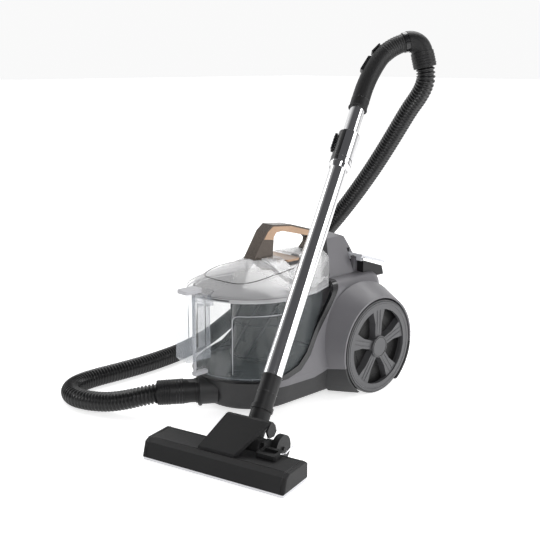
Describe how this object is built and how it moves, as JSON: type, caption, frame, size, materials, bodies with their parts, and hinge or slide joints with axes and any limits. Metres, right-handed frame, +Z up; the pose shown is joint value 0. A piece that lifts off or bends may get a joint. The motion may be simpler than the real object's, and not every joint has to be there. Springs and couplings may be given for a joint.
{
  "type": "canister vacuum cleaner",
  "caption": "Bagless canister vacuum cleaner with a clear cyclone bin, ribbed hose, telescopic wand and a floor head with a rocker pedal.",
  "frame": {"origin": "on the floor, on the canister's mid-plane, 110 mm in front of the drive wheels' axle", "axes": "+Z up, -Y towards the canister's front (its hose port), +X the side on which the floor head stands"},
  "size_m": [0.7101, 0.7539, 0.7449],
  "materials": {
    "chassis_black": "matt black moulded plastic",
    "housing_grey": "satin grey moulded plastic",
    "gloss_black": "gloss black plastic",
    "clear_plastic": "clear moulded plastic",
    "smoke_plastic": "smoked clear plastic",
    "milky_plastic": "translucent whitish plastic",
    "copper_plastic": "copper coloured metallic plastic",
    "cyclone_dark": "dark tinted plastic",
    "light_grey": "light grey plastic",
    "wheel_grey": "satin grey plastic",
    "tyre_rubber": "soft tread",
    "chrome": "bright chromed steel tube",
    "hose_black": "ribbed black hose",
    "filter_white": "pleated filter paper and foam",
    "motor_metal": "motor casing",
    "steel": "steel",
    "board_green": "circuit board",
    "bristle": "nylon bristle",
    "seal_rubber": "soft seal"
  },
  "bodies": {
    "canister": {"base_tray": "chassis_black", "motor_housing": "housing_grey", "spine_cover": "housing_grey", "bin_arch_trim": "gloss_black", "exhaust_grille": "chassis_black", "hepa_filter": "filter_white", "motor": "motor_metal", "fan_housing": "chassis_black", "cord_outlet": "seal_rubber", "switch_module": "chassis_black", "control_board": "board_green", "outlet_duct": "chassis_black", "axle_pins": "steel", "hose_inlet": "chassis_black", "inlet_duct": "chassis_black", "hose_connector": "chassis_black", "lower_cuff": "chassis_black", "suction_hose": "hose_black", "outer_tube": "chrome", "tube_sleeve": "chassis_black", "neck_pipe": "chassis_black"},
    "fan": {"impeller": "motor_metal"},
    "reel": {"cord_reel": "chassis_black"},
    "power_pedal": {"power_pedal": "milky_plastic"},
    "rewind_pedal": {"rewind_pedal": "milky_plastic"},
    "left_wheel": {"wheel_left": "wheel_grey", "tyre_left": "tyre_rubber"},
    "right_wheel": {"wheel_right": "wheel_grey", "tyre_right": "tyre_rubber"},
    "caster": {"caster_fork": "chassis_black"},
    "caster_wheel": {"caster_wheel": "wheel_grey"},
    "dust_bin": {"bin_shell": "smoke_plastic", "bin_flap": "smoke_plastic", "cyclone_cone": "cyclone_dark", "shroud_filter": "cyclone_dark", "front_handle": "clear_plastic"},
    "empty_button": {"empty_button": "light_grey"},
    "lid": {"bin_lid": "milky_plastic", "lid_seal": "seal_rubber", "premotor_filter": "filter_white", "carry_handle": "gloss_black", "handle_inlay": "copper_plastic"},
    "release_button": {"release_button": "copper_plastic"},
    "tube_latch": {"tube_latch": "chassis_black"},
    "wand_upper": {"hose_elbow": "chassis_black", "inner_tube": "chrome", "handle_grip": "chassis_black", "grip_ring": "gloss_black"},
    "regulator": {"regulator": "light_grey"},
    "hose_swivel": {"upper_cuff": "light_grey"},
    "neck": {"neck_elbow": "chassis_black"},
    "head": {"head_shell": "chassis_black", "head_end_caps": "chassis_black", "sole_plate": "steel", "hook_block": "chassis_black", "park_wire": "steel"},
    "rocker": {"rocker_pedal": "chassis_black"},
    "brush": {"brush_strips": "bristle"},
    "head_wheel_left": {"head_wheel_left": "wheel_grey"},
    "head_wheel_right": {"head_wheel_right": "wheel_grey"}
  },
  "joints": [
    {"name": "left_wheel_spin", "type": "hinge", "parent": "canister", "child": "left_wheel", "pos_m": [0.133, 0.11, 0.1], "axis": [1, 0, 0], "continuous": true},
    {"name": "right_wheel_spin", "type": "hinge", "parent": "canister", "child": "right_wheel", "pos_m": [-0.133, 0.11, 0.1], "axis": [1, 0, 0], "continuous": true},
    {"name": "caster_swivel", "type": "hinge", "parent": "canister", "child": "caster", "pos_m": [0, -0.128, 0.02], "axis": [0, 0, 1], "continuous": true},
    {"name": "caster_roll", "type": "hinge", "parent": "caster", "child": "caster_wheel", "pos_m": [0, -0.128, 0.014], "axis": [1, 0, 0], "continuous": true},
    {"name": "fan_spin", "type": "hinge", "parent": "canister", "child": "fan", "pos_m": [0, 0.08, 0.172], "axis": [0, 1, 0], "continuous": true},
    {"name": "reel_spin", "type": "hinge", "parent": "canister", "child": "reel", "pos_m": [0, 0.146, 0.05], "axis": [0, 0, 1], "continuous": true},
    {"name": "power_press", "type": "hinge", "parent": "canister", "child": "power_pedal", "pos_m": [0.0485, 0.1445, 0.27], "axis": [-1, 0, 0], "range_deg": [0, 4.2], "stiffness_Nm_per_rad": 2, "springref_deg": -2.86},
    {"name": "rewind_press", "type": "hinge", "parent": "canister", "child": "rewind_pedal", "pos_m": [-0.0485, 0.1445, 0.27], "axis": [-1, 0, 0], "range_deg": [0, 4.2], "stiffness_Nm_per_rad": 2, "springref_deg": -2.86},
    {"name": "bin_lift", "type": "slide", "parent": "canister", "child": "dust_bin", "axis": [0, 0, 1], "range_m": [0, 0.14]},
    {"name": "lid_open", "type": "hinge", "parent": "dust_bin", "child": "lid", "pos_m": [0, -0.24, 0.247], "axis": [1, 0, 0], "range_deg": [0, 62]},
    {"name": "empty_press", "type": "slide", "parent": "dust_bin", "child": "empty_button", "axis": [0, 0, -1], "range_m": [0, 0.008], "stiffness_N_per_m": 300, "springref_m": -0.004},
    {"name": "release_press", "type": "slide", "parent": "lid", "child": "release_button", "axis": [0, 0, -1], "range_m": [0, 0.004], "stiffness_N_per_m": 500, "springref_m": -0.004},
    {"name": "tube_latch_slide", "type": "slide", "parent": "canister", "child": "tube_latch", "axis": [0.197, -0.5969, -0.7778], "range_m": [0, 0.007], "stiffness_N_per_m": 200, "springref_m": -0.004},
    {"name": "wand_extend", "type": "slide", "parent": "canister", "child": "wand_upper", "axis": [-0.197, 0.5969, 0.7778], "range_m": [0, 0.3]},
    {"name": "regulator_slide", "type": "slide", "parent": "wand_upper", "child": "regulator", "axis": [0.1386, 0.7783, 0.6124], "range_m": [-0.004, 0.004]},
    {"name": "hose_turn", "type": "hinge", "parent": "wand_upper", "child": "hose_swivel", "pos_m": [0.11707, 0.26727, 0.70254], "axis": [0.2081, 0.1117, -0.9717], "continuous": true},
    {"name": "neck_twist", "type": "hinge", "parent": "canister", "child": "neck", "pos_m": [0.21737, -0.28856, 0.08533], "axis": [-0.197, 0.5969, 0.7778], "range_deg": [-25, 45]},
    {"name": "head_tilt", "type": "hinge", "parent": "neck", "child": "head", "pos_m": [0.22997, -0.32676, 0.03556], "axis": [0.9659, 0.2588, 0], "range_deg": [0, 38]},
    {"name": "rocker_press", "type": "hinge", "parent": "head", "child": "rocker", "pos_m": [0.21991, -0.38945, 0.039], "axis": [-0.9659, -0.2588, 0], "range_deg": [0, 3.5]},
    {"name": "brush_drop", "type": "slide", "parent": "head", "child": "brush", "axis": [0, 0, -1], "range_m": [0, 0.006]},
    {"name": "head_wheel_left_spin", "type": "hinge", "parent": "head", "child": "head_wheel_left", "pos_m": [0.18273, -0.30111, 0.0252], "axis": [0.9659, 0.2588, 0], "continuous": true},
    {"name": "head_wheel_right_spin", "type": "hinge", "parent": "head", "child": "head_wheel_right", "pos_m": [0.25807, -0.28092, 0.0252], "axis": [0.9659, 0.2588, 0], "continuous": true}
  ],
  "couplings": [
    {"joint": "brush_drop", "follows": "rocker_press", "m_per_rad": 0.098}
  ]
}
